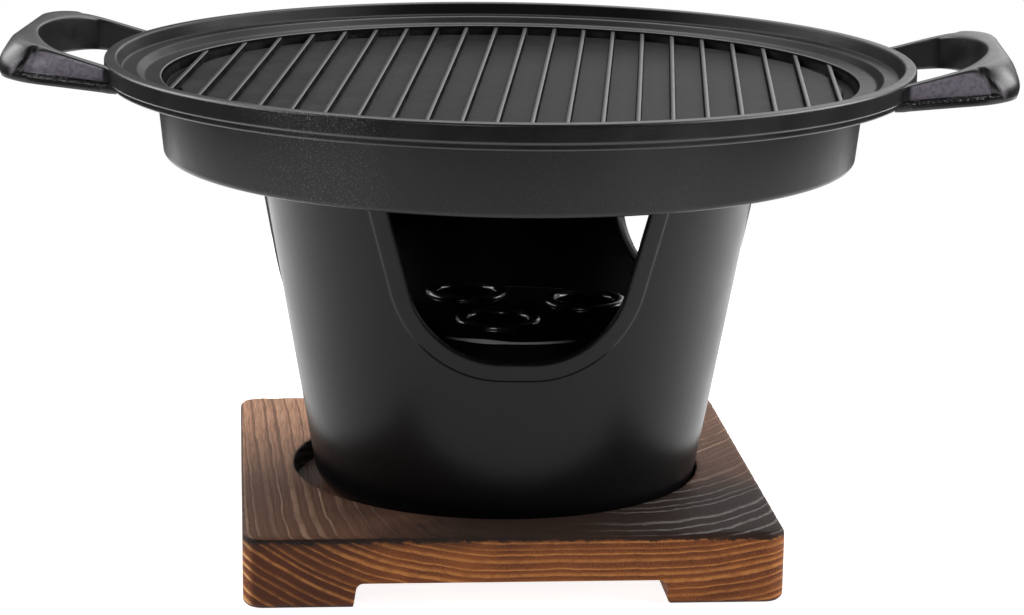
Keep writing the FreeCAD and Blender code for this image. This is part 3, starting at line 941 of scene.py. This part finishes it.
# Painted shade in the creases at the recesses' ends, and a near-black strip along the ragged parting line
# below them with its bare teeth
def paintCreaseShadeAndSeam(place, base, c, m, h):
    x, y, z = split(place)
    out, wide = unsigned(x), ramp(unsigned(y), *m["recessY"])
    lean, rise = tan(radians(h["recessLean"])), tan(radians(h["footRise"]))
    end = calc("MULTIPLY_ADD", z, -lean, h["recessEnd"] + h["recessEndHeight"] * lean)
    into = calc("SUBTRACT", end, out)
    ledge = calc("MULTIPLY_ADD", out, rise, h["footHeight"] + h["ledge"] - h["rootX"] * rise)
    above = calc("SUBTRACT", z, ledge)
    # the crease at each recess end is painted near-black as its shade
    creaseShade = times(ramp(into, *m["creaseShadeStart"]), ramp(into, *m["creaseShadeEnd"]), wide)
    seam = times(ramp(above, *m["parting"]), wide, ramp(out, *m["partingX"]), ramp(into, *m["partingInto"]))
    teeth = ramp(addNoise(place, 1.0, 3, 0.7), *m["teeth"])
    bare = times(seam, teeth, ramp(above, *m["teethFoot"]))
    return overlay(base, (creaseShade, c["shadeAndSeamBlack"]), (seam, c["shadeAndSeamBlack"]), (bare, c["bareMetal"]))


def plateCoating(c, m, h):
    material, tree, shader = newMaterial("plateCoating")
    place = millimetres(tree)
    x, y, z = split(place)
    normal = surfaceNormal(tree)
    radius, out = fromAxis(x, y), unsigned(x)
    cloud = addNoise(place, 0.09, 4, 0.62)
    # the cooking floor is mottled, the other faces are even
    inWell = times(ramp(radius, *m["inWell"]), ramp(z, *m["aboveUnderside"]))
    onFloor = times(inWell, ramp(z, *m["belowRibTops"]))
    mottle = times(ramp(cloud, *m["mottle"]), onFloor)
    # light specks lie on the outer faces, most of them in one stretch
    fromSpeckStretch = unsigned(plus(x, -speckStretchX))
    speckled = times(ramp(fromSpeckStretch, *m["speckStretch"]), ramp(z, *m["speckHeight"]))
    speckled = plus(speckled, ramp(addNoise(place, 0.022), *m["speckCloud"]))
    outside = most(ramp(radius, *m["outsideRim"]), ramp(z, *m["belowFlange"]))
    speck = times(ramp(addNoise(place, 3.2, 1), *m["grain"]), speckled, outside)
    # the outer faces of the arms are a dull purplish grey
    onArm = times(ramp(unsigned(normal["Y"]), *m["sideways"]), ramp(out, *m["armX"]),
                  ramp(unsigned(y), *m["armY"]))
    stain = ramp(addNoise(place, 0.7, 4, 0.7), *m["stain"])
    armFaceColour = mixColour(stain, c["armGrey"], c["armStain"])
    base = overlay(c["plateColour"], (mottle, c["plateMottle"]), (onArm, armFaceColour), (speck, c["plateSpeck"]))
    feed(shader, "Base Color", paintCreaseShadeAndSeam(place, base, c, m, h))
    rough = plus(drift(cloud, c["plateRoughness"]), times(onFloor, c["floorRoughness"]))
    feed(shader, "Roughness", rough)
    # the skirt is duller than the rim and the handles, and the steep sides inside the well are dullest
    shine = ramp(z, *m["aboveSkirt"], c["skirtShine"], c["plateShine"])
    shine = plus(shine, times(onFloor, c["floorShine"] - c["plateShine"]))
    steep = times(inWell, ramp(normal["Z"], *m["steep"]))
    # the ledges and the rim are dull at the plate's left and right, and so is the rim's inner wall all round
    within = most(ramp(radius, *m["rimStep"]), ramp(z, *m["rimHeight"]))
    onLedge = times(ramp(radius, *m["ledgeInner"]), ramp(radius, *m["ledgeOuter"]), within,
                    ramp(z, *m["ledgeHeight"]))
    rimWall = times(ramp(radius, *m["rimWall"]), ramp(normal["Z"], *m["rimWallDull"]))
    atSides = ramp(out, *m["sides"], 0, ramp(radius, *m["sideDull"]))
    # the floor is duller towards the back
    floorDull = times(onFloor, ramp(y, *m["floorDull"]))
    dull = most(times(onLedge, most(rimWall, atSides)), floorDull, steep)
    feed(shader, "Specular IOR Level", times(shine, ramp(dull, 0, 1, 1, 0, "LINEAR")))
    addBump(shader, addNoise(place, 1 / c["specklePitch"], 2, 0.6), 0.5, c["speckleDepth"])
    return material


def bodyCoating(c):
    material, tree, shader = newMaterial("bodyCoating", Base_Color=c["bodyColour"],
                                         Specular_IOR_Level=c["bodyShine"])
    place = millimetres(tree)
    feed(shader, "Roughness", drift(addNoise(place, 0.05, 3), c["bodyRoughness"]))
    addBump(shader, addNoise(place, 1.4), 0.25, 0.012)
    return material


trayMasks = dict(lip=(75.5, 76.2), front=(-0.5, -0.8, 0, 0.6), edgeIn=(0.7, 0.3), edgeUnder=(0.65, 0.4),
                 highlightX=(22, 8), highlightShare=0.9)


def trayCoating(c, m, t):
    material, tree, shader = newMaterial("trayCoating")
    place = millimetres(tree, (t["centreX"], 0, 0))
    x, y, z = split(place)
    feed(shader, "Roughness", drift(addNoise(place, 0.12, 3), c["trayRoughness"]))
    # the lips of the vents and what faces front shine, and the platform's edge in front and behind shines and
    # carries a painted highlight
    edgeRadius = [t["platformRadius"] - inward for inward in m["edgeIn"]]
    edgeHeight = [t["platformTop"] - under for under in m["edgeUnder"]]
    lip = ramp(z, *m["lip"])
    front = ramp(surfaceNormal(tree)["Y"], *m["front"])
    # the platform's edge in front and behind, where the highlight is painted
    rim = times(ramp(fromAxis(x, y), *edgeRadius), ramp(z, *edgeHeight), ramp(unsigned(x), *m["highlightX"]))
    feed(shader, "Specular IOR Level", ramp(most(lip, front, rim), 0, 1, *c["trayShine"]))
    # the platform's edge is mixed towards near-white there: a painted highlight
    colour = mixColour(times(rim, m["highlightShare"]), c["trayColour"], c["paintedHighlightWhite"])
    feed(shader, "Base Color", colour)
    addBump(shader, addNoise(place, 0.8, 3), 0.4, 0.05)
    return material


# Softwood with its pith above and behind the board: rings, fibres, brushed lines and scorch marks
woodFinish = dict(
    pith=(40.0, 182.0), pithFall=(-70, 40, -0.03, -0.2), ringStart=135.0, ringGrowth=66.6, ringPower=0.18,
    wander=3.0, ripple=0.45, yearly=1.3, yearlyPitch=0.21,
    sideGround=paint(124, 70, 36), sideDark=paint(74, 38, 22), sideLine=paint(184, 122, 66),
    leftDark=paint(60, 31, 20), cornerLine=paint(206, 156, 104),
    # the top's pale line colour is grain painted lighter as its highlight, and the ash grey below is ash with
    # a painted sheen
    topGround=paint(190, 142, 112), topDark=paint(80, 54, 41), topLineAndHighlight=paint(170, 138, 112),
    char=paint(26, 20, 18), ashAndSheenGrey=paint(140, 136, 132),
)

# Masks of the same kind for the board
woodMasks = dict(
    lineStart=(0.48, 0.84), lineEnd=(1.0, 0.9), thin=(0.55, 1),
    # the dark band beside each line is painted shade
    shadeBesideStart=(0.0, 0.08), shadeBesideEnd=(0.36, 0.14),
    onTop=(0.55, 0.8), ringTone=(0, 1, 0.3, 1), patch=(0.3, 0.65, 0.12, 0.85), broken=(0.35, 0.6, 0.5, 1),
    sideShade=(0.36, 0.62), early=(0.1, 0.7, 0, 0.45), left=(-30, -62), leftCorner=(-82.5, -80),
    leftLines=(0, 1, 1, 0.7), cornerLines=(-80.5, -82.5, 0, 0.85),
    smearHeight=(17.5, 22), smearX=(40, -5, 0, 0.6), rimHeight=(20.5, 21.3), footHeight=(1.7, 0.5, 0, 0.8),
    # the top's darkening to the front is a painted sheen that leaves its back lighter
    fibre=(0.25, 0.75, 0.35, 1), paintedSheenToBack=(62, -40, 0, 0.92), darkRight=(20, 60, 0, 0.85),
    scorchedY=(-35, -62), scorchedX=(-62, -44), burntY=(-5, -48), burntX=(-68, -8),
    ashAndSheenX=(15, 60, 0, 0.55), ashAndSheenY=(-5, -55), belowTop=(21.5, 20.5),
    pocketRadius=(67.3, 66.9), pocketWallShade=(0.8, 0.5, 0, 0.9),
)


# The grain at a place: where it lies between two rings, the lines drawn there, fibres and patches
def woodGrain(tree, place, m, f):
    x, y, z = split(place)
    wander = addNoise(stretched(place, 1, 0.5, 1), 0.014)
    ripple = addNoise(stretched(place, 1, 0.35, 1), 0.13)
    fall = ramp(x, *f["pithFall"])
    ringX = calc("SUBTRACT", x, f["pith"][0])
    ringZ = calc("SUBTRACT", calc("MULTIPLY_ADD", y, fall, f["pith"][1]), z)
    distance = plus(fromAxis(ringX, ringZ), spread(wander, f["wander"]), spread(ripple, f["ripple"]))
    yearly = addNode(tree, "ShaderNodeTexNoise", {
        "W": times(distance, f["yearlyPitch"]), "Scale": 1, "Detail": 3,
    }, noise_dimensions="1D").outputs["Fac"]
    distance = plus(distance, spread(yearly, f["yearly"]))
    beyond = most(calc("SUBTRACT", distance, f["ringStart"]), 0.01)
    phase = times(calc("POWER", beyond, f["ringPower"]), f["ringGrowth"])
    share = calc("FRACT", phase)
    ringTone = addNode(tree, "ShaderNodeTexWhiteNoise", {"W": calc("FLOOR", phase)},
                       noise_dimensions="1D").outputs["Value"]
    line = times(ramp(share, *m["lineStart"]), ramp(share, *m["lineEnd"]))
    return dict(
        x=x, y=y, z=z, share=share, line=line, thin=ramp(line, *m["thin"]),
        # the dark band beside each line is the painted shade of its raised ridge
        shadeBesideLine=times(ramp(share, *m["shadeBesideStart"]), ramp(share, *m["shadeBesideEnd"])),
        each=ramp(ringTone, *m["ringTone"], "LINEAR"),
        fibre=addNoise(stretched(place, 1, 0.05, 1), 1.9, 3, 0.6),
        patch=addNoise(place, 0.06, 3, 0.55),
        broken=ramp(addNoise(place, 0.3, 4, 0.7), *m["broken"]),
    )


# The sides are brown with pale lines, darker at the left, charred at the rim and in smears, and darker along
# the foot
def woodSide(place, g, m, f):
    x, z = g["x"], g["z"]
    shade = calc("MULTIPLY_ADD", g["fibre"], 0.55, times(addNoise(place, 0.05, 3), 0.45))
    left = ramp(plus(x, spread(g["patch"], 20)), *m["left"])
    lines = times(g["line"], g["broken"], g["each"], ramp(left, *m["leftLines"]))
    smear = plus(z, spread(addNoise(place, 0.12, 3, 0.6), 3))
    rim = plus(z, spread(addNoise(place, 0.35, 2, 0.6), 1.5))
    return overlay(
        f["sideDark"], (ramp(shade, *m["sideShade"]), f["sideGround"]),
        (ramp(g["share"], *m["early"]), f["sideGround"]),
        (times(left, ramp(x, *m["leftCorner"]), 0.85), f["leftDark"]), (lines, f["sideLine"]),
        (times(ramp(x, *m["cornerLines"]), g["line"]), f["cornerLine"]),
        (times(ramp(smear, *m["smearHeight"]), ramp(x, *m["smearX"])), f["char"]),
        (times(ramp(rim, *m["rimHeight"]), 0.92), f["char"]), (ramp(z, *m["footHeight"]), f["char"]),
    )


# The top darkens to the front, which leaves a painted sheen on its back half, and to the right. Its brushed
# grain lines are painted pale as the highlight on their raised ridges, with painted shade beside them; the
# front is burnt, and the lines at the front right hold ash with a painted grey sheen
def woodTop(g, m, f):
    x, y, dark = g["x"], g["y"], f["topDark"]
    scorched = times(ramp(y, *m["scorchedY"]), ramp(x, *m["scorchedX"]))
    strength = times(ramp(g["patch"], *m["patch"]), calc("POWER", g["each"], 2))
    front = ramp(plus(y, spread(g["patch"], 30)), *m["burntY"])
    right = ramp(plus(x, spread(g["patch"], 25)), *m["burntX"])
    ashAndSheen = times(ramp(x, *m["ashAndSheenX"]), ramp(y, *m["ashAndSheenY"]))
    return overlay(
        # the darkening to the front paints a sheen on the back half, the dark beside each line is painted
        # shade, the pale lines carry a painted highlight, and the ash carries a painted sheen
        dark, (ramp(g["fibre"], *m["fibre"]), f["topGround"]), (ramp(y, *m["paintedSheenToBack"]), dark),
        (times(g["shadeBesideLine"], 0.7), dark), (ramp(x, *m["darkRight"]), dark),
        (times(g["thin"], strength), mixColour(scorched, f["topLineAndHighlight"], f["char"])),
        (times(front, right, 0.86), f["char"]), (times(g["thin"], g["broken"], ashAndSheen), f["ashAndSheenGrey"]),
        (ramp(g["z"], *m["belowTop"]), dark),
    )


def charredWood(w, m, f):
    material, tree, shader = newMaterial("charredWood", Roughness=0.62, Specular_IOR_Level=0.14)
    place = millimetres(tree, (*w["centre"], 0), w["turn"])
    grain = woodGrain(tree, place, m, f)
    facing = surfaceNormal(tree)["Z"]
    side, top = woodSide(place, grain, m, f), woodTop(grain, m, f)
    colour = mixColour(ramp(facing, *m["onTop"]), side, top)
    radius = fromAxis(grain["x"], grain["y"])
    # the pocket's wall, in the gap round the stove, is painted black as shade
    pocketWallShade = times(ramp(radius, *m["pocketRadius"]), ramp(facing, *m["pocketWallShade"]))
    feed(shader, "Base Color", mixColour(pocketWallShade, colour, f["char"]))
    relief = plus(times(grain["line"], 0.7), times(grain["fibre"], 0.5))
    addBump(shader, relief, 0.75, 0.35)
    return material


# Camera, light and floor

camera = dict(target=(0.001685, 0, 0.07483), distance=1.0309, elevation=13.142, turn=2.48, roll=0.935,
              lens=110.49)


def makeCamera(c):
    data = bpy.data.cameras.new("camera")
    data.lens = c["lens"]
    data.sensor_width = 36
    data.sensor_fit = "HORIZONTAL"
    data.clip_end = 10
    e, r = radians(c["elevation"]), radians(c["roll"])
    back, right, up = Vector((0, -cos(e), sin(e))), Vector((1, 0, 0)), Vector((0, sin(e), cos(e)))
    place = Matrix((right * cos(r) + up * sin(r), up * cos(r) - right * sin(r), back)).transposed().to_4x4()
    place.translation = Vector(c["target"]) + back * c["distance"]
    obj = bpy.data.objects.new("camera", data)
    scene.collection.objects.link(obj)
    obj.matrix_world = Matrix.Rotation(radians(c["turn"]), 4, "Z") @ place
    scene.camera = obj


studio = dict(
    room=(-0.1, 0.7, 0.06, 1.7), lowRoom=(0, 0.16, 0.05),
    windowLeft=(-0.16, 0.2, 0.08), windowRight=(0.6, 0.3),
    sides=(0.3, 0.6, 0, 0.3), ceilingHeight=(0.3, 0.5, 0, 1.7), ceilingDepth=(-0.1, 0.4, 0.04),
    floorSize=0.92, floorColour=(0.5, 0.5, 0.5, 1), floorGlow=(150, 380, 0.9, 1.15),
    lamps={
        "overhead": dict(place=(0.35, 0.9, 1.3), aim=(0, 0, 0.05), size=(1.6, 1.0), power=4),
        "leftBox": dict(place=(-1.1, 0.1, 0.72), aim=(0, 0, 0.12), size=(1.5, 0.7), power=14),
        "rightBox": dict(place=(1.15, 0.0, 0.74), aim=(0, 0, 0.12), size=(1.5, 0.7), power=21),
        "frontBox": dict(place=(-0.25, -1.4, 0.8), aim=(0, 0, 0.08), size=(0.35, 0.3), power=2.5),
    },
)


def addLamps(lamps):
    for name, lamp in lamps.items():
        data = bpy.data.lights.new(name, "AREA")
        data.shape = "RECTANGLE"
        data.size, data.size_y = lamp["size"]
        data.energy = lamp["power"]
        obj = bpy.data.objects.new(name, data)
        scene.collection.objects.link(obj)
        place = Vector(lamp["place"])
        obj.location = place
        obj.rotation_euler = (Vector(lamp["aim"]) - place).to_track_quat("-Z", "Y").to_euler()


# The backdrop is white all round. What the castings reflect is a window behind, right of the middle,
# fainter sides and a ceiling at the back
def makeRoom(s):
    world = bpy.data.worlds.new("surroundings")
    world.use_nodes = True
    tree = world.node_tree
    seen = addNode(tree, "ShaderNodeLightPath").outputs["Is Camera Ray"]
    x, y, z = split(addNode(tree, "ShaderNodeTexCoord").outputs["Generated"])
    window = times(ramp(x, *s["windowLeft"]), ramp(x, *s["windowRight"]))
    sides = ramp(unsigned(x), *s["sides"])
    room = times(ramp(y, *s["room"]), most(window, sides), ramp(z, *s["lowRoom"]))
    ceiling = times(ramp(z, *s["ceilingHeight"]), ramp(y, *s["ceilingDepth"]))
    background = tree.nodes["Background"]
    background.inputs["Color"].default_value = (1, 1, 1, 1)
    feed(background, "Strength", most(room, ceiling, seen))
    scene.world = world
    scene.view_settings.view_transform = "Standard"


def makeFloor(s):
    material, tree, shader = newMaterial("floorPaper", Base_Color=s["floorColour"], Roughness=0.9,
                                         Specular_IOR_Level=0.1, Emission_Color=(1, 1, 1, 1))
    place = millimetres(tree)
    addBump(shader, addNoise(place, 0.3, 2), 0.05, 0.05)
    feed(shader, "Emission Strength", ramp(unsigned(split(place)["X"]), *s["floorGlow"]))
    half = s["floorSize"] / 2 / mm
    corners = [(-half, -half, 0), (half, -half, 0), (half, half, 0), (-half, half, 0)]
    floor = makeObject("floor", makeMesh("floor", corners, [(0, 1, 2, 3)]), material)


makeCamera(camera)
addLamps(studio["lamps"])
makeRoom(studio)
makeFloor(studio)
print("studio ready")

plate = makeGrillPlate(grillPlate, grillHandle, plateCoating(castFinish, plateMasks, grillHandle))
print("grill plate ready", len(plate.data.polygons))
stove = makeStoveBody(stoveBody, bodyCoating(castFinish))
print("stove body ready", len(stove.data.polygons))
tray = makeCharcoalTray(charcoalTray, trayCoating(castFinish, trayMasks, charcoalTray))
print("charcoal tray ready", len(tray.data.polygons))
board = makeWoodBase(woodBase, charredWood(woodBase, woodMasks, woodFinish))
print("wooden base ready", len(board.data.polygons))

for piece, body, node, slot in (
    (plate, "plate", "grill_plate", "coated_cast_plate"),
    (stove, "body", "stove_body", "coated_cast_body"),
    (tray, "tray", "charcoal_tray", "coated_cast_tray"),
    (board, "base", "wood_base", "charred_wood"),
):
    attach(piece, body)
    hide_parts(node)
